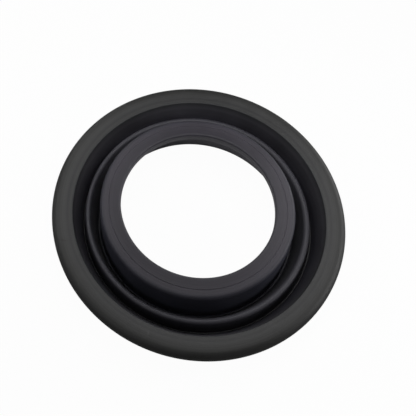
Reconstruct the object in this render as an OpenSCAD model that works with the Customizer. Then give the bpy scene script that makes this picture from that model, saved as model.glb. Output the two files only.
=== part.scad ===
// Rubber bellows: a moulded ring with a clamping rim outside, one raised fold between
// two deep valleys, and a raised collar round the bore. It is one piece of black rubber, a
// full revolve about Z. Z = 0 is the plane that the underside of the second root stands on.
// All sizes are in millimetres.

/* [Rim] */
// Outside diameter of the rim
outer_d = 120; // [112:1:160]
// Width of the rim, from its outside to the edge of the first valley
rim_w = 8.6; // [7.5:0.1:11]
// Thickness of the rim, from its flat underside to its top
rim_h = 6; // [5.4:0.1:6.4]
// Width of the flat land along the rim's inner edge
land_w = 3; // [2:0.1:4]
// Fall of the rim's crown from the land to the outside, in degrees
crown_fall = 9; // [3:1:14]
// Radius of the rim's upper outside edge
rim_edge_r = 3.2; // [1:0.1:3.8]
// Radius of the rim's lower outside edge
rim_foot_r = 1.2; // [0.4:0.1:2]
// Radius of the rim's lip, where it falls into the first valley
rim_lip_r = 0.4; // [0.2:0.1:1.2]
// Radius in the corner between the rim's underside and the folded wall
rim_root_r = 0.8; // [0.3:0.1:1.2]

/* [Folds] */
// Thickness of the folded wall
wall = 1.2; // [1:0.1:1.6]
// Depth of the second valley below the rim's top
valley_depth = 13.6; // [11:0.1:16]
// Height of the first root above the second
outer_root_lift = 2.4; // [0:0.1:4]
// Distance from the rim's inner edge in to the middle of the first root
outer_root_in = 4.9; // [4.2:0.1:5]
// Radius of the first root on its upper side
outer_root_r = 0.4; // [0.2:0.1:0.8]
// Distance from the rim's inner edge in to the middle of the crest
crest_in = 6.7; // [6.4:0.1:7.5]
// Height of the crest above the floor of the second valley
crest_h = 10.6; // [9:0.1:12]
// Radius of the crest on its underside
crest_inner_r = 0.1; // [0.1:0.05:0.4]
// Distance from the middle of the crest in to the middle of the second root
inner_root_in = 4.6; // [3.8:0.1:5.2]
// Radius of the second root on its upper side
inner_root_r = 0.7; // [0.4:0.1:1.2]

/* [Collar] */
// Diameter of the bore
bore_d = 62; // [40:1:66]
// Distance from the middle of the second root in to the outside of the collar
shoulder_in = 0.8; // [0.8:0.1:2]
// Radius of the collar's shoulder
shoulder_r = 1.8; // [1:0.1:3]
// Height of the top of the shoulder above the rim's top
shoulder_rise = 6.2; // [5:0.1:9]
// Height of the collar's underside above the rim's top
collar_foot_rise = 3.9; // [0:0.1:5]
// Rise of the collar's top from the shoulder to the bore, in degrees
collar_slope = 14; // [0:1:20]
// Radius of the bore's upper edge
bore_top_r = 0.8; // [0.5:0.1:2]
// Radius of the bore's lower edge
bore_foot_r = 0.5; // [0.3:0.1:1]
// Radius in the corner between the collar's underside and the folded wall
collar_root_r = 1.2; // [0.5:0.1:2]

/* [Mould lines] */
// Width of the shallow groove along each mould line
line_w = 0.4; // [0.2:0.1:0.8]
// Depth of the shallow groove along each mould line
line_depth = 0.2; // [0.1:0.05:0.4]

/* [Smoothness] */
// Largest distance between an arc of the section and its chords
arc_error = 0.01; // [0.005:0.005:0.05]

/* [Hidden] */
// Facets of the revolve in a preview
$fn = 240;

rim_r = outer_d / 2;
rim_in_r = rim_r - rim_w;
rim_top_z = wall + valley_depth;
rim_foot_z = rim_top_z - rim_h;
crest_r = crest_inner_r + wall;
crest_mid_r = rim_in_r - crest_in;
inner_root_mid_r = crest_mid_r - inner_root_in;
shoulder_mid_r = inner_root_mid_r - shoulder_in - shoulder_r;
shoulder_mid_z = rim_top_z + shoulder_rise - shoulder_r;
bore_r = bore_d / 2;
collar_foot_z = rim_top_z + collar_foot_rise;

// The rolls that the folded wall passes, from the rim in to the collar: the middle of each
// in the section, and its radius on the wall's upper side. The wall passes over the rim's
// lip, the crest and the shoulder, and under the two roots between them.
ROLLS = [
    [[rim_in_r + rim_lip_r, rim_top_z - rim_lip_r], rim_lip_r],
    [[rim_in_r - outer_root_in, outer_root_lift + wall + outer_root_r], outer_root_r],
    [[crest_mid_r, wall + crest_h - crest_r], crest_r],
    [[inner_root_mid_r, wall + inner_root_r], inner_root_r],
    [[shoulder_mid_r, shoulder_mid_z], shoulder_r]
];
LIP = 0;
OUTER_ROOT = 1;
CREST = 2;
INNER_ROOT = 3;
SHOULDER = 4;

// 1 where the wall passes over roll i, and -1 where it passes under it
function over(i) = i % 2 == 0 ? 1 : -1;

// Direction of the straight wall from roll i to the next, an angle between 90 and 270
function flank_dir(i) =
    let (gap = ROLLS[i + 1][0] - ROLLS[i][0],
         lean = asin((ROLLS[i][1] + ROLLS[i + 1][1]) / norm(gap)))
    (atan2(gap[1], gap[0]) + 360) % 360 + over(i) * lean;

// Directions in which the wall reaches roll i and leaves it
function dir_in(i) = i == LIP ? 180 : flank_dir(i - 1);
function dir_out(i) = i == SHOULDER ? 180 - collar_slope : flank_dir(i);

// Points of an arc about the point c with radius r, from angle a to angle b
function arc(c, r, a, b) =
    let (steps = ceil(abs(b - a) / (2 * acos(1 - arc_error / r))))
    [for (s = [0 : steps]) let (t = a + (b - a) * s / steps) c + r * [cos(t), sin(t)]];

// Points of the wall round roll i, on its upper side at depth 0 or its underside at depth wall
function bend(i, depth) =
    arc(ROLLS[i][0], ROLLS[i][1] - over(i) * depth,
        dir_in(i) - over(i) * 90, dir_out(i) - over(i) * 90);

// The same points from the collar out to the rim
function bend_back(i, depth) =
    let (points = bend(i, depth)) [for (k = [len(points) - 1 : -1 : 0]) points[k]];

// Where the underside of the straight wall that reaches roll i crosses the height z
function underside_at(i, z) =
    let (start = bend(i, wall)[0])
    [start[0] + (z - start[1]) / tan(dir_in(i)), z];

// Points of the arc of radius r that rounds the corner q of the path p, q, s
function corner(p, q, s, r) =
    let (a = (p - q) / norm(p - q),
         b = (s - q) / norm(s - q),
         half = acos(a * b) / 2,
         mid = q + (a + b) / norm(a + b) * r / sin(half),
         out = q + a * r / tan(half) - mid,
         start = atan2(out[1], out[0]),
         side = a[0] * b[1] - a[1] * b[0] > 0 ? -1 : 1)
    arc(mid, r, start, start + side * (180 - 2 * half));

// A mould line, cut inwards from the point p into a face that rises inwards by slope
function mould_line(p, slope) =
    [for (cut = [[line_w / 4, line_depth], [line_w * 3 / 4, line_depth], [line_w, 0]])
        p + [-cut[0], cut[0] * tan(slope) - cut[1]]];

// Sharp corners of the section
land_edge = [rim_in_r + land_w, rim_top_z];
rim_edge = [rim_r, rim_top_z - (rim_w - land_w) * tan(crown_fall)];
rim_foot = [rim_r, rim_foot_z];
rim_root = underside_at(OUTER_ROOT, rim_foot_z);
shoulder_edge = ROLLS[SHOULDER][0] + shoulder_r * [sin(collar_slope), cos(collar_slope)];
bore_top = [bore_r, shoulder_edge[1] + (shoulder_edge[0] - bore_r) * tan(collar_slope)];
bore_foot = [bore_r, collar_foot_z];
collar_root = underside_at(SHOULDER, collar_foot_z);

// Outline of the rim, from the corner at the wall round its outside and in over the land
function rim_outline() = concat(
    corner(bend(OUTER_ROOT, wall)[0], rim_root, rim_foot, rim_root_r),
    corner(rim_root, rim_foot, rim_edge, rim_foot_r),
    corner(rim_foot, rim_edge, land_edge, rim_edge_r),
    [land_edge],
    mould_line(land_edge, 0));

// Upper side of the folded wall, from the rim's lip in to the shoulder
function upper_outline() = [for (i = [LIP : SHOULDER]) each bend(i, 0)];

// Outline of the collar, in to the bore, down it and out to the corner at the wall
function collar_outline() = concat(
    mould_line(shoulder_edge, collar_slope),
    corner(shoulder_edge, bore_top, bore_foot, bore_top_r),
    corner(bore_top, bore_foot, collar_root, bore_foot_r),
    corner(bore_foot, collar_root, bend_back(INNER_ROOT, wall)[0], collar_root_r));

// Underside of the folded wall, from the collar out to the rim
function lower_outline() = [for (i = [INNER_ROOT : -1 : OUTER_ROOT]) each bend_back(i, wall)];

module bellows() {
    color([0.16, 0.16, 0.17])
        rotate_extrude()
            polygon(concat(rim_outline(), upper_outline(), collar_outline(), lower_outline()));
}

bellows();
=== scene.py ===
# %% [markdown]
# A rubber bellows, moulded in one piece: a broad clamping rim outside, a thin folded wall
# with one raised crest between two deep valleys, and a thin raised collar round an open
# bore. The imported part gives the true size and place. This lesson makes a finer skin of the
# same section, gives it the look of moulded black rubber, and lights it for the photograph.

# %% Load the part
import math
import bpy
from mathutils import Matrix, Vector


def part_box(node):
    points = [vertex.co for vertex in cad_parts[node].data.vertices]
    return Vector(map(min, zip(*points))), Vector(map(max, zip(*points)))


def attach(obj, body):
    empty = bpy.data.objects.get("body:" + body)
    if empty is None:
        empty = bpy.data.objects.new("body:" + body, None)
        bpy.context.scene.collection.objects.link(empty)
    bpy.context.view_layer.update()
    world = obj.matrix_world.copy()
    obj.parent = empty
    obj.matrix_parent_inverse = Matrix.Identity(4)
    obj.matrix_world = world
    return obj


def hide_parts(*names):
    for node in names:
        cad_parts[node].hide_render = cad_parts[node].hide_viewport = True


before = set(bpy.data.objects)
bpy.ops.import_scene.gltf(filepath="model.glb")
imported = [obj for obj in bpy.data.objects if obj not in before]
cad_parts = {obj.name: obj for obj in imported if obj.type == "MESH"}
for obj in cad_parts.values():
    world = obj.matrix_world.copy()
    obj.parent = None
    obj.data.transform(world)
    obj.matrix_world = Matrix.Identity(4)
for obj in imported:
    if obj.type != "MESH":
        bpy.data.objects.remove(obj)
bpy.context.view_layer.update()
MM = 0.001
part_low, part_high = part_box("bellows")
print("part, mm:", [round(side / MM, 2) for side in part_high - part_low])

# %% [markdown]
# The camera comes first, so that every later step can be set against the photograph. It
# stands in front of the ring and looks steeply down on it. The ring's ellipses fix how
# steeply, and how much larger the near side looks than the far side fixes the distance.
# The picture hangs a little askew, so the camera is turned about its own line of sight.

# %% Camera
PICTURE_SIDE = 416
SENSOR_WIDTH = 36.0
FOCAL_PIXELS = 968
camera_place = Vector((1.65, -164.0, 370.5)) * MM
camera_aim = Vector((2.76, 2.85, 14.8)) * MM
camera_turn = math.radians(9.53)

camera_data = bpy.data.cameras.new("photo_camera")
camera_data.sensor_width = SENSOR_WIDTH
camera_data.lens = SENSOR_WIDTH * FOCAL_PIXELS / PICTURE_SIDE
camera = bpy.data.objects.new("photo_camera", camera_data)
bpy.context.scene.collection.objects.link(camera)
bpy.context.scene.camera = camera
facing = (camera_aim - camera_place).to_track_quat("-Z", "Y").to_matrix().to_4x4()
camera.matrix_world = Matrix.Translation(camera_place) @ facing @ Matrix.Rotation(camera_turn, 4, "Z")
print("camera distance, mm:", round((camera_aim - camera_place).length / MM))

# %% [markdown]
# The rim is the thick outer edge that a clamp holds. It has a flat land along the inside,
# and from there its crown falls to the outside. The ring is a full revolve, so its whole
# form is in one half section, and these are that section's sizes at the rim. The outside
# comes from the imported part. Where the mould's halves met, the land keeps a fine line,
# given by its width and depth: in the photograph it is a wide and hardly deep hollow.

# %% Sizes of the rim, in millimetres
OUTER_R = (part_high.x - part_low.x) / 2 / MM
RIM_WIDTH = 8.6
RIM_THICKNESS = 6.0
LAND_WIDTH = 3.0
CROWN_FALL = 9.0
RIM_EDGE_R = 3.2
RIM_FOOT_R = 1.2
RIM_ROOT_R = 0.8
RIM_LINE = (1.4, 0.02)

RIM_INNER_R = OUTER_R - RIM_WIDTH
print("rim from", round(RIM_INNER_R, 2), "to", round(OUTER_R, 2))

# %% [markdown]
# The folded wall is what makes the ring a bellows: it lets the collar move while the rim is
# held. It has one even thickness. From the rim it drops to a tight first root, rises over
# the crest and drops to a wider second root, which is the lowest place of the ring. The
# first root stands 0.6 mm nearer the rim here than in the solid, so that the wall beside it
# is as steep, and as dark, as in the photograph.

# %% Sizes of the folds
WALL = 1.2
VALLEY_DEPTH = 13.6
LIP_R = 0.4
ROOT_1_LIFT = 2.4
ROOT_1_IN = 4.3
ROOT_1_R = 0.4
CREST_IN = 6.7
CREST_HEIGHT = 10.6
CREST_R = 1.3
ROOT_2_IN = 4.6
ROOT_2_R = 0.7

RIM_TOP = WALL + VALLEY_DEPTH
RIM_FOOT = RIM_TOP - RIM_THICKNESS
CREST_TOP = WALL + CREST_HEIGHT
print("rim's top at", round(RIM_TOP, 2), "and crest's top at", round(CREST_TOP, 2))

# %% [markdown]
# The collar is the raised inner edge that grips what passes through the bore. Its top
# slopes up from a round shoulder to the bore, and its underside is flat. Its own mould line
# is a fine groove, 1.9 mm further in than the solid's, where the photograph shows it.

# %% Sizes of the collar
BORE_R = 31.0
SHOULDER_IN = 0.8
SHOULDER_R = 1.8
COLLAR_SLOPE = 14.0
COLLAR_RISE = 6.2
COLLAR_FOOT_RISE = 3.9
BORE_TOP_R = 0.8
BORE_FOOT_R = 0.5
COLLAR_ROOT_R = 1.2
COLLAR_LINE = (0.5, 0.13)
COLLAR_LINE_IN = 1.9
print("bore, mm:", 2 * BORE_R)

# %% [markdown]
# A mould maker draws such a wall as a strip of even thickness that passes over and under
# round rolls: over the rim's lip, under the first root, over the crest, under the second
# root and over the collar's shoulder. Drawing the rolls, and letting the straight stretches
# follow as tangents, keeps both faces of the rubber smooth wherever a size is changed.
# Each roll is its middle and its radius on the wall's upper face.

# %% Rolls that the wall passes
root_1 = Vector((RIM_INNER_R - ROOT_1_IN, ROOT_1_LIFT + WALL + ROOT_1_R))
crest = Vector((RIM_INNER_R - CREST_IN, CREST_TOP - CREST_R))
root_2 = Vector((crest.x - ROOT_2_IN, WALL + ROOT_2_R))
shoulder = Vector((root_2.x - SHOULDER_IN - SHOULDER_R, RIM_TOP + COLLAR_RISE - SHOULDER_R))
rolls = [
    (Vector((RIM_INNER_R + LIP_R, RIM_TOP - LIP_R)), LIP_R),
    (root_1, ROOT_1_R),
    (crest, CREST_R),
    (root_2, ROOT_2_R),
    (shoulder, SHOULDER_R),
]
AT_LIP, AT_ROOT_1, AT_CREST, AT_ROOT_2, AT_SHOULDER = range(len(rolls))
print("wall rolls:", [(round(m.x, 1), round(m.y, 1), r) for m, r in rolls])

# %% [markdown]
# Every bend of the moulded rubber is round, since a sharp corner would tear. Two small
# functions draw them all: one gives the points of an arc, and the other fits an arc into
# the corner of a path, so that it touches both sides. A curve object with bevelled corners
# could do this too, but points in plain lists can be joined, turned round and measured.

# %% Arcs and rounded corners
STEP_DEGREES = 9.0


def direction(degrees):
    return Vector((math.cos(math.radians(degrees)), math.sin(math.radians(degrees))))


def arc(middle, radius, start, end):
    """Points of an arc, from one direction to another, in degrees."""
    steps = max(2, math.ceil(abs(end - start) / STEP_DEGREES))
    return [middle + radius * direction(start + (end - start) * s / steps) for s in range(steps + 1)]


def rounded(before, corner, after, radius):
    """Points of the arc that rounds the corner of a path through three points."""
    back = (before - corner).normalized()
    onward = (after - corner).normalized()
    half_angle = back.angle(onward) / 2
    middle = corner + (back + onward).normalized() * radius / math.sin(half_angle)
    first = corner + back * radius / math.tan(half_angle) - middle
    start = math.degrees(math.atan2(first.y, first.x))
    side = -1 if back.x * onward.y - back.y * onward.x > 0 else 1
    return arc(middle, radius, start, start + side * (180 - 2 * math.degrees(half_angle)))


print("points in a quarter turn:", len(arc(root_1, ROOT_1_R, 0, 90)))

# %% [markdown]
# Between two rolls the wall is straight and touches both, one from above and the next from
# below. The direction of that stretch follows from the two middles and the two radii.

# %% Straight walls between the rolls
INWARDS = 180.0


def passes_over(i):
    """1 where the wall passes over roll i, and -1 where it passes under it."""
    return 1 if i % 2 == 0 else -1


def flank(i):
    """Direction of the straight wall from roll i to the next, in degrees."""
    (here, radius_here), (there, radius_there) = rolls[i], rolls[i + 1]
    gap = there - here
    lean = math.degrees(math.asin((radius_here + radius_there) / gap.length))
    return math.degrees(math.atan2(gap.y, gap.x)) % 360 + passes_over(i) * lean


flanks = [flank(i) for i in range(AT_SHOULDER)]
arriving = [INWARDS] + flanks
leaving = flanks + [INWARDS - COLLAR_SLOPE]
print("straight walls run at, degrees:", [round(degrees, 1) for degrees in flanks])

# %% [markdown]
# With those directions, each face of the wall is a chain of arcs. The upper face has each
# roll's own radius, and the underside lies one wall thickness deeper: tighter where the
# wall passes over a roll, and wider where it passes under one.

# %% Bends of the folded wall
def bend(i, depth):
    """The wall round roll i, at a depth below its upper face."""
    middle, radius = rolls[i]
    quarter = passes_over(i) * 90
    return arc(middle, radius - passes_over(i) * depth, arriving[i] - quarter, leaving[i] - quarter)


def underside_at(i, height):
    """Where the underside of the straight wall that reaches roll i crosses a height."""
    start = bend(i, WALL)[0]
    return Vector((start.x + (height - start.y) / math.tan(math.radians(arriving[i])), height))


upper_face = [point for i in range(AT_LIP, AT_SHOULDER + 1) for point in bend(i, 0)]
underside = [point for i in (AT_ROOT_2, AT_CREST, AT_ROOT_1) for point in reversed(bend(i, WALL))]
print("points above and below:", len(upper_face), len(underside))

# %% [markdown]
# The mould lines show as faint dark circles, so each is cut into the outline itself, as a
# shallow groove with a flat floor. Only geometry gives it its small shadow from every side.
# The groove's shape is written as shares of its width and its depth.

# %% Mould lines
GROOVE_SHAPE = [(0, 0), (0.25, 1), (0.75, 1), (1, 0)]


def mould_line(start, slope, width, depth):
    """A shallow groove cut inwards from a point, in a face that rises inwards by a slope."""
    rise = math.tan(math.radians(slope))
    return [start + Vector((-width * x, width * x * rise - depth * down)) for x, down in GROOVE_SHAPE]


print("rim's mould line, width and depth in mm:", RIM_LINE)

# %% [markdown]
# The rim closes the section outside. It is the path from the folded wall's underside along
# the rim's foot, up its outside and in over the crown to the land, with each corner
# rounded by the radius that the mould gives it.

# %% The rim's outline
land_edge = Vector((RIM_INNER_R + LAND_WIDTH, RIM_TOP))
crown_drop = (RIM_WIDTH - LAND_WIDTH) * math.tan(math.radians(CROWN_FALL))
rim_edge = Vector((OUTER_R, RIM_TOP - crown_drop))
rim_foot = Vector((OUTER_R, RIM_FOOT))
rim_root = underside_at(AT_ROOT_1, RIM_FOOT)
rim = (rounded(bend(AT_ROOT_1, WALL)[0], rim_root, rim_foot, RIM_ROOT_R)
       + rounded(rim_root, rim_foot, rim_edge, RIM_FOOT_R)
       + rounded(rim_foot, rim_edge, land_edge, RIM_EDGE_R)
       + mould_line(land_edge, 0, *RIM_LINE))
print("crown falls, mm:", round(crown_drop, 2))

# %% [markdown]
# The collar closes the section inside, from the shoulder up its sloping top, down the bore
# and back under itself to the folded wall. The places where the bore's wall begins and
# ends are kept by name, because the rubber's finish changes there.

# %% The collar's outline
collar_slope_rise = math.tan(math.radians(COLLAR_SLOPE))
shoulder_edge = shoulder + SHOULDER_R * direction(90 - COLLAR_SLOPE)
collar_lift = (shoulder_edge.x - BORE_R) * collar_slope_rise
bore_top = Vector((BORE_R, shoulder_edge.y + collar_lift))
bore_foot = Vector((BORE_R, RIM_TOP + COLLAR_FOOT_RISE))
collar_root = underside_at(AT_SHOULDER, bore_foot.y)
collar_line = shoulder_edge + COLLAR_LINE_IN * Vector((-1, collar_slope_rise))
bore_lip = rounded(shoulder_edge, bore_top, bore_foot, BORE_TOP_R)
collar_under = (rounded(bore_top, bore_foot, collar_root, BORE_FOOT_R)
                + rounded(bore_foot, collar_root, bend(AT_ROOT_2, WALL)[-1], COLLAR_ROOT_R))
collar = mould_line(collar_line, COLLAR_SLOPE, *COLLAR_LINE) + bore_lip + collar_under
bore_wall_top = bore_lip[-1]
bore_wall_foot = collar_under[0]
outline = rim + upper_face + collar + underside
print("outline points:", len(outline), "top at", round(max(p.y for p in outline), 2))

# %% [markdown]
# Flat faces are long and round ones are short, and a long face next to a short one shades
# unevenly. The outline is therefore walked again so that no step along it is longer than
# the rubber is thick. A subdivision modifier would even it out too, but would also pull
# the fine mould lines flat.

# %% Even steps along the outline
LONGEST_STEP = 1.0
steps_walked = []
for here, there in zip(outline, outline[1:] + outline[:1]):
    shares = max(1, math.ceil((there - here).length / LONGEST_STEP))
    steps_walked += [here.lerp(there, share / shares) for share in range(shares)]
rings = len(steps_walked)
print("points after the walk:", rings)

# %% [markdown]
# Real rubber never lies as true as its drawing. Here the whole ring lies two hundredths out
# of round, and the folds let the collar sit about a millimetre to the left of the rim. Each
# point is moved by its own place alone and the move fades in over the folds, so the bend is
# smooth and no face gets a kink.

# %% How the soft ring lies
OUT_OF_ROUND = 0.0186
LONG_WAY = math.radians(-41)
COLLAR_ASIDE = Vector((-1.17, 0.36))


def eased(share):
    """A share from 0 to 1 that starts and ends gently."""
    share = min(1.0, max(0.0, share))
    return share * share * (3 - 2 * share)


def lie(radius, height, turn):
    """A point of the resting ring, in metres, from its place in the section."""
    across = turn - LONG_WAY
    oval = Vector(((1 + OUT_OF_ROUND) * math.cos(across), (1 - OUT_OF_ROUND) * math.sin(across)))
    oval.rotate(Matrix.Rotation(LONG_WAY, 2))
    inwards = eased((RIM_INNER_R - radius) / (RIM_INNER_R - root_2.x))
    flat = oval * radius + COLLAR_ASIDE * inwards
    return Vector((flat.x, flat.y, height)) * MM


print("longest outside width, mm:", round(2 * OUTER_R * (1 + OUT_OF_ROUND), 1))

# %% [markdown]
# The ring itself is the outline swept once round the axis. Blender's Screw modifier can
# sweep a curve, but only in a true circle, and this ring lies a little oval. So each point
# is placed by the function above, and every four neighbours make one face. With 300 places
# round the ring the rim still looks round, and the mesh stays under 200,000 triangles.

# %% Sweep the outline round
TURNS = 300
points = [lie(p.x, p.y, math.tau * turn / TURNS) for turn in range(TURNS) for p in steps_walked]
faces = []
for turn in range(TURNS):
    here = turn * rings
    there = (turn + 1) % TURNS * rings
    for step in range(rings):
        after = (step + 1) % rings
        faces.append((here + step, here + after, there + after, there + step))

skin = bpy.data.meshes.new("bellows_skin")
skin.from_pydata(points, [], faces)
print("triangles:", 2 * len(faces))

# %% [markdown]
# The finish of the rubber depends on where a point lies in the section, and a mesh can
# carry such numbers for its material as attributes. One is the point's radius before the
# ring was laid out of round. The other says how much painted light, as a paler colour, lies
# there: none on the upper side and the rim, some on the wall of the bore, and all on the
# folded wall's underside.

# %% What the skin carries for its material
# Share of painted light: a paler colour on the bore's wall and the folded wall's underside.
BORE_WALL_PAINTED_LIGHT = 0.5
first_on_bore = steps_walked.index(bore_wall_top)
first_inside = steps_walked.index(bore_wall_foot)
painted_light_share = [0.0] * first_on_bore
painted_light_share += [BORE_WALL_PAINTED_LIGHT] * (first_inside - first_on_bore)
painted_light_share += [1.0] * (rings - first_inside)


def carry(name, values):
    """Gives each point of the skin the number of its place in the outline."""
    skin.attributes.new(name, "FLOAT", "POINT").data.foreach_set("value", values * TURNS)


carry("section_radius", [p.x for p in steps_walked])
carry("painted_light_share", painted_light_share)
print("points on the bore's wall:", first_inside - first_on_bore)

# %% [markdown]
# The faces are shaded smooth, apart from the few edges that are sharp in the mould, such
# as the sides of the collar's line. The skin then stands for the imported solid: it rides on
# the part's one body.

# %% The finished skin
SHARP_FROM = math.radians(32)
skin.validate()
skin.shade_smooth()
skin.set_sharp_from_angle(angle=SHARP_FROM)
bellows = bpy.data.objects.new("bellows_skin", skin)
bpy.context.scene.collection.objects.link(bellows)
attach(bellows, "root")
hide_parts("bellows")
print("faces:", len(skin.polygons))

# %% [markdown]
# Colours are written as the hex values that a picture program shows. Shader sockets want
# linear light, so one function turns the first into the second, with the numbers that the
# sRGB standard gives. A second small function adds a node with its settings and links, so
# that a material reads as a short list. An input is given by its name or its number.

# %% Helpers for materials
def linear(hex_colour):
    channels = [int(hex_colour[i:i + 2], 16) / 255 for i in (1, 3, 5)]
    return [c / 12.92 if c <= 0.04045 else ((c + 0.055) / 1.055) ** 2.4 for c in channels] + [1.0]


def add_node(tree, kind, settings=None, links=None):
    """Adds a node, sets its properties or input values, and links its inputs."""
    node = tree.nodes.new(kind)
    for name, value in (settings or {}).items():
        if isinstance(name, int) or name in node.inputs:
            node.inputs[name].default_value = value
        else:
            setattr(node, name, value)
    for name, socket in (links or {}).items():
        tree.links.new(socket, node.inputs[name])
    return node


print("middle grey in linear light:", round(linear("#808080")[0], 3))

# %% [markdown]
# The ring is nitrile rubber filled with carbon black, pressed in a turned steel mould. That
# gives the eye a deep black with a soft grey sheen, a fine matt grain, and very faint
# circles where the mould was turned on a lathe. Real grain and turning marks are usually
# finer than this picture can show, so both are drawn as coarse as they need to be seen.
# Broad soft clouds stand for uneven dust and handling. The circles follow the radius that
# the mesh carries, so they stay true on the collar, which lies to one side.

# %% Patterns of moulded rubber
GRAIN_MM = 0.5
TURNING_MM = 0.7
CLOUD_MM = 9.0

# This material's colour carries painted light and painted shade besides the rubber's own tint.
rubber = bpy.data.materials.new("moulded_nitrile_rubber_with_painted_light")
rubber.use_nodes = True
tree = rubber.node_tree
tree.nodes.clear()
place = add_node(tree, "ShaderNodeTexCoord").outputs["Object"]
radius = add_node(tree, "ShaderNodeAttribute", {"attribute_name": "section_radius"}).outputs["Fac"]
clouds = add_node(tree, "ShaderNodeTexNoise", {"Scale": 1 / (CLOUD_MM * MM), "Detail": 3.0},
                  {"Vector": place}).outputs["Fac"]
grain = add_node(tree, "ShaderNodeTexNoise", {"Scale": 1 / (GRAIN_MM * MM), "Detail": 2.0},
                 {"Vector": place}).outputs["Fac"]
circle_place = add_node(tree, "ShaderNodeMath", {"operation": "DIVIDE", 1: TURNING_MM},
                        {0: radius}).outputs[0]
circles = add_node(tree, "ShaderNodeTexNoise", {"noise_dimensions": "1D", "Scale": 1.0, "Detail": 2.0},
                   {"W": circle_place}).outputs["Fac"]
print("grain, circles and clouds, mm:", GRAIN_MM, TURNING_MM, CLOUD_MM)

# %% [markdown]
# Rubber is seldom one even black, and the tone along the section holds both the rubber's
# own faint blue tint and painted light and shade. The walls of the folds and round the crest
# are painted paler, as painted light, and the collar's edge a little paler too. The shoulder,
# the two roots, the rim's lip and the fall of its crown are painted darker, as painted shade
# in the valleys and against highlights. All of this follows the radius, so one colour ramp
# along it holds it. Each zone is placed from a feature of the section, in millimetres, and so
# it moves along when a size is changed.

# %% Tone, painted light and painted shade along the section
# The rubber's faint tint, with painted light on the fold walls and painted shade in the roots, on the
# shoulder, at the lip and on the fall of the crown.
TONE_AND_PAINTED_LIGHT = [
    ("bore lip", BORE_R, "#2c2a32"),
    ("collar", BORE_R + 2.0, "#2f2c34"),
    ("collar edge", shoulder.x - 0.5, "#3a373f"),
    ("shoulder", shoulder.x + 1.1, "#2e2d36"),
    ("collar wall", root_2.x - 0.5, "#32333f"),
    ("second root", root_2.x + 0.1, "#24242b"),
    ("wall under the crest", crest.x - 2.7, "#464649"),
    ("crest", crest.x, "#3a3941"),
    ("first root", root_1.x, "#1c1c20"),
    ("foot of the rim's wall", root_1.x + 0.8, "#2f2e36"),
    ("head of the rim's wall", RIM_INNER_R - 0.9, "#3a393e"),
    ("rim lip", RIM_INNER_R + LIP_R, "#28292a"),
    ("land", RIM_INNER_R + 1.2, "#353535"),
    ("mould line", RIM_INNER_R + 2.2, "#2b2b2c"),
    ("crown", RIM_INNER_R + 3.6, "#3a3a3a"),
    ("fall of the crown", OUTER_R - 2.0, "#252524"),
    ("outer edge", OUTER_R, "#333333"),
]
along = add_node(tree, "ShaderNodeMapRange", {"From Min": BORE_R, "From Max": OUTER_R},
                 {"Value": radius}).outputs["Result"]
# This ramp paints light and shade into the rubber's colour along the radius.
tone_and_painted_light = add_node(tree, "ShaderNodeValToRGB", {}, {"Fac": along})
stops = tone_and_painted_light.color_ramp.elements
for zone, zone_radius, colour in TONE_AND_PAINTED_LIGHT[1:-1]:
    stops.new((zone_radius - BORE_R) / (OUTER_R - BORE_R))
for stop, (zone, zone_radius, colour) in zip(stops, TONE_AND_PAINTED_LIGHT):
    stop.color = linear(colour)
    print("bloom at", round(zone_radius, 1), "mm,", zone, colour)

# %% [markdown]
# The bore and the underside of the folded wall are painted paler. This is painted light: it
# stands for light that the lamps don't bring to the bore's wall and the folded wall's lower
# end. It is mixed over the ramp's tone as an even pale coat, in the share that the attribute
# gives.

# %% Painted light inside
# The paler colour of the painted light inside the ring.
PAINTED_LIGHT_INSIDE = "#5e5d63"
MIX_SHARE, MIX_FIRST, MIX_SECOND, MIX_RESULT = 0, 6, 7, 2
painted_light_fac = add_node(tree, "ShaderNodeAttribute", {"attribute_name": "painted_light_share"}).outputs["Fac"]
tone_with_painted_light = add_node(tree, "ShaderNodeMix", {"data_type": "RGBA", MIX_SECOND: linear(PAINTED_LIGHT_INSIDE)},
                {MIX_SHARE: painted_light_fac, MIX_FIRST: tone_and_painted_light.outputs["Color"]}).outputs[MIX_RESULT]
print("talc colour:", PAINTED_LIGHT_INSIDE)

# %% [markdown]
# The clouds and the circles also make the tone a little uneven, and two faint marks lie
# on the rim: a darker patch on the left and a pale scuff of handling in front. Each mark is
# a stretched round patch. Its row gives its place across and away, its half lengths, all in
# millimetres, and how dark or light its middle is, where 1 changes nothing.

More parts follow.
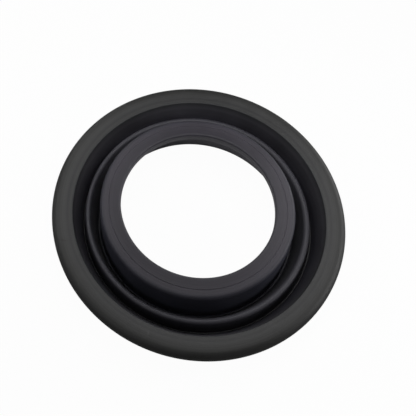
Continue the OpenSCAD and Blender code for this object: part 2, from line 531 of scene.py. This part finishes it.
# %% Uneven tone and marks
PATCH_SPREAD = (0.7, 1.3)
UNEVEN_TONE = (0.85, 1.15)
MARK_CORE = 0.2
MARKS = [
    # The darker patch on the rim's left is made in the colour alone.
    ("dark_patch", -52.2, -20.9, 2.4, 0.6, 0.68),
    ("scuff", -12.2, -53.0, 0.6, 1.3, 1.5),
]
patches = add_node(tree, "ShaderNodeMath", {"operation": "ADD"}, {0: clouds, 1: circles}).outputs[0]
uneven = add_node(tree, "ShaderNodeMapRange",
                  {"From Min": PATCH_SPREAD[0], "From Max": PATCH_SPREAD[1],
                   "To Min": UNEVEN_TONE[0], "To Max": UNEVEN_TONE[1]},
                  {"Value": patches}).outputs["Result"]
for name, x, y, half_x, half_y, strength in MARKS:
    middle = [x * MM, y * MM, RIM_TOP * MM]
    spread = [1 / (half_x * MM), 1 / (half_y * MM), 1 / (LAND_WIDTH * MM)]
    off = add_node(tree, "ShaderNodeVectorMath", {"operation": "SUBTRACT", 1: middle},
                   {0: place}).outputs["Vector"]
    patch = add_node(tree, "ShaderNodeVectorMath", {"operation": "MULTIPLY", 1: spread},
                     {0: off}).outputs["Vector"]
    reach = add_node(tree, "ShaderNodeVectorMath", {"operation": "LENGTH"}, {0: patch}).outputs["Value"]
    mark = add_node(tree, "ShaderNodeMapRange",
                    {"From Min": MARK_CORE, "From Max": 1.0, "To Min": strength, "To Max": 1.0},
                    {"Value": reach}).outputs["Result"]
    uneven = add_node(tree, "ShaderNodeMath", {"operation": "MULTIPLY"}, {0: uneven, 1: mark}).outputs[0]
    print("mark:", name, "at", x, y)

# %% [markdown]
# The last step joins these in one shader. The index of refraction is the usual one for
# rubber. The roughness is that of a dull moulded skin and drifts a little with the clouds.
# The circles and the grain are at most two hundredths of a millimetre high, so a bump is
# enough for them: they change how light catches the face, and never its outline.

# %% Surface of moulded rubber
RUBBER_IOR = 1.52
ROUGHNESS = (0.52, 0.6)
CLOUD_SPREAD = (0.3, 0.7)
BUMP = {"Strength": 0.5, "Distance": 0.02 * MM}
tone = add_node(tree, "ShaderNodeVectorMath", {"operation": "SCALE"}, {0: tone_with_painted_light, "Scale": uneven})
dullness = add_node(tree, "ShaderNodeMapRange",
                    {"From Min": CLOUD_SPREAD[0], "From Max": CLOUD_SPREAD[1],
                     "To Min": ROUGHNESS[0], "To Max": ROUGHNESS[1]},
                    {"Value": clouds}).outputs["Result"]
turned = add_node(tree, "ShaderNodeBump", BUMP, {"Height": circles})
matt = add_node(tree, "ShaderNodeBump", BUMP, {"Height": grain, "Normal": turned.outputs["Normal"]})
shader = add_node(tree, "ShaderNodeBsdfPrincipled", {"IOR": RUBBER_IOR, "Metallic": 0.0},
                  {"Base Color": tone.outputs["Vector"], "Roughness": dullness,
                   "Normal": matt.outputs["Normal"]})
add_node(tree, "ShaderNodeOutputMaterial", {}, {"Surface": shader.outputs["BSDF"]})
skin.materials.append(rubber)
print("rubber nodes:", len(tree.nodes))

# %% [markdown]
# The photograph's background is white, and a black ring is easily spoilt by it: white that
# really lit the ring, or was mirrored in it, would turn its black edges grey. So each ray is
# asked what it is. The camera's rays, and rays through glass, find the full white.
# Reflections find a tenth of it, because the rim's near edge stays black in the photograph
# and so no white wall stood there. All other rays, which carry light, find none.

# %% White for the background
MIRRORED_SHARE = 0.1


def white_share(tree):
    """How much of the white background the present ray finds: all, a tenth or none."""
    path = add_node(tree, "ShaderNodeLightPath").outputs
    straight = add_node(tree, "ShaderNodeMath", {"operation": "MAXIMUM"},
                        {0: path["Is Camera Ray"], 1: path["Is Transmission Ray"]}).outputs[0]
    return add_node(tree, "ShaderNodeMath",
                    {"operation": "MULTIPLY_ADD", "use_clamp": True, 1: MIRRORED_SHARE},
                    {0: path["Is Glossy Ray"], 2: straight}).outputs[0]


print("share of the white in reflections:", MIRRORED_SHARE)

# %% [markdown]
# The floor is one plain square, wide enough to fill every view of the ring. The ring stands
# on the underside of its second root, and a hair of air keeps the two from sharing a plane.

# %% Floor
FLOOR_SIDE = 3.0
FLOOR_GAP = 0.05
half_side = FLOOR_SIDE / 2
corners = [(x * half_side, y * half_side, 0) for x, y in ((-1, -1), (1, -1), (1, 1), (-1, 1))]
floor_mesh = bpy.data.meshes.new("floor")
floor_mesh.from_pydata(corners, [], [(0, 1, 2, 3)])
floor = bpy.data.objects.new("floor", floor_mesh)
floor.location.z = part_low.z - FLOOR_GAP * MM
bpy.context.scene.collection.objects.link(floor)
print("floor side, m:", FLOOR_SIDE)

# %% [markdown]
# The floor is matt paper. Rays that carry light find it grey, so that it throws little
# light up under the rim. Under the bore they find it white, as if a round card lay there,
# because in the photograph the folded wall's lower end is lit from below. What the camera
# sees is the even white, with a trace of the lit paper mixed in, and that trace keeps a
# soft shadow where the ring stands.

# %% White paper
PAPER_GREY = "#6e6e6e"
PAPER_WHITE = "#f4f4f4"
FULL_WHITE = {"Color": linear("#ffffff"), "Strength": 1.0}
SHADOW_SHARE = 0.03
CARD_R = 37.0

paper = bpy.data.materials.new("white_paper")
paper.use_nodes = True
tree = paper.node_tree
tree.nodes.clear()
seen = white_share(tree)
place = add_node(tree, "ShaderNodeTexCoord").outputs["Object"]
away = add_node(tree, "ShaderNodeVectorMath", {"operation": "LENGTH"}, {0: place}).outputs["Value"]
on_card = add_node(tree, "ShaderNodeMath", {"operation": "LESS_THAN", 1: CARD_R * MM},
                   {0: away}).outputs[0]
grey = add_node(tree, "ShaderNodeBsdfDiffuse", {"Color": linear(PAPER_GREY)}).outputs["BSDF"]
lit = add_node(tree, "ShaderNodeBsdfDiffuse", {"Color": linear(PAPER_WHITE)}).outputs["BSDF"]
plain = add_node(tree, "ShaderNodeMixShader", {}, {"Fac": on_card, 1: grey, 2: lit}).outputs["Shader"]
glow = add_node(tree, "ShaderNodeEmission", FULL_WHITE).outputs["Emission"]
shown = add_node(tree, "ShaderNodeMixShader", {"Fac": SHADOW_SHARE}, {1: glow, 2: lit}).outputs["Shader"]
surface = add_node(tree, "ShaderNodeMixShader", {}, {"Fac": seen, 1: plain, 2: shown}).outputs["Shader"]
add_node(tree, "ShaderNodeOutputMaterial", {}, {"Surface": surface})
floor_mesh.materials.append(paper)
print("paper nodes:", len(tree.nodes))

# %% [markdown]
# Past the floor's edge lies the world. It follows the same rule as the floor, so that the
# two meet with hardly a line. To the rays that carry light it is dark, because the lamps
# alone are meant to shape the ring.

# %% Surroundings
NO_LIGHT = {"Color": linear("#ffffff"), "Strength": 0.0}
world = bpy.data.worlds.new("studio")
world.use_nodes = True
bpy.context.scene.world = world
tree = world.node_tree
tree.nodes.clear()
seen = white_share(tree)
room = add_node(tree, "ShaderNodeBackground", NO_LIGHT).outputs["Background"]
white = add_node(tree, "ShaderNodeBackground", FULL_WHITE).outputs["Background"]
sky = add_node(tree, "ShaderNodeMixShader", {}, {"Fac": seen, 1: room, 2: white}).outputs["Shader"]
add_node(tree, "ShaderNodeOutputWorld", {}, {"Surface": sky})
print("world nodes:", len(tree.nodes))

# %% [markdown]
# A black object shows its lamps more than its own colour, so the lamps are round and soft.
# Walls that face the axis are grey in the photograph and those that face outwards are black
# on the near side. Lamps far off can't do that, so six of the eight stand within a quarter
# of a metre of the ring's middle. Each row gives the way round from the right and the
# height, in degrees, the distance and the width, in metres, and how bright the lamp's face
# is. Its power grows with the face's area, so a lamp can be made wider and stay as bright.

# %% Lamps
LAMPS = [
    ("close_right_far", 45, 62, 0.15, 0.06, 4.55),
    ("close_left_far", 135, 62, 0.15, 0.06, 2.69),
    ("close_left", 180, 35, 0.15, 0.06, 2.64),
    ("overhead", 0, 90, 0.25, 0.1, 4.02),
    ("low_right", 0, 25, 0.25, 0.1, 6.23),
    ("low_left_far", 135, 25, 0.25, 0.1, 2.95),
    ("grazing_right_far", 45, 12, 1.0, 0.5, 5.34),
    ("near_left", 225, 40, 1.0, 0.5, 1.5),
]
for name, round_degrees, up_degrees, away, width, brightness in LAMPS:
    lamp_data = bpy.data.lights.new(name, "AREA")
    lamp_data.shape = "DISK"
    lamp_data.size = width
    lamp_data.energy = brightness * (math.pi * width / 2) ** 2
    lamp = bpy.data.objects.new(name, lamp_data)
    flat = direction(round_degrees) * math.cos(math.radians(up_degrees))
    where = Vector((flat.x, flat.y, math.sin(math.radians(up_degrees)))) * away
    lamp.location = where
    lamp.rotation_euler = (-where).to_track_quat("-Z", "Y").to_euler()
    lamp.visible_camera = False
    bpy.context.scene.collection.objects.link(lamp)
    print("lamp:", name, "power", round(lamp_data.energy, 3))

# %% [markdown]
# Standard view keeps a written colour as it is. The last step writes the part's box and the
# finished piece's box side by side, so that the two can be compared.

# %% Finish
bpy.context.scene.view_settings.view_transform = "Standard"
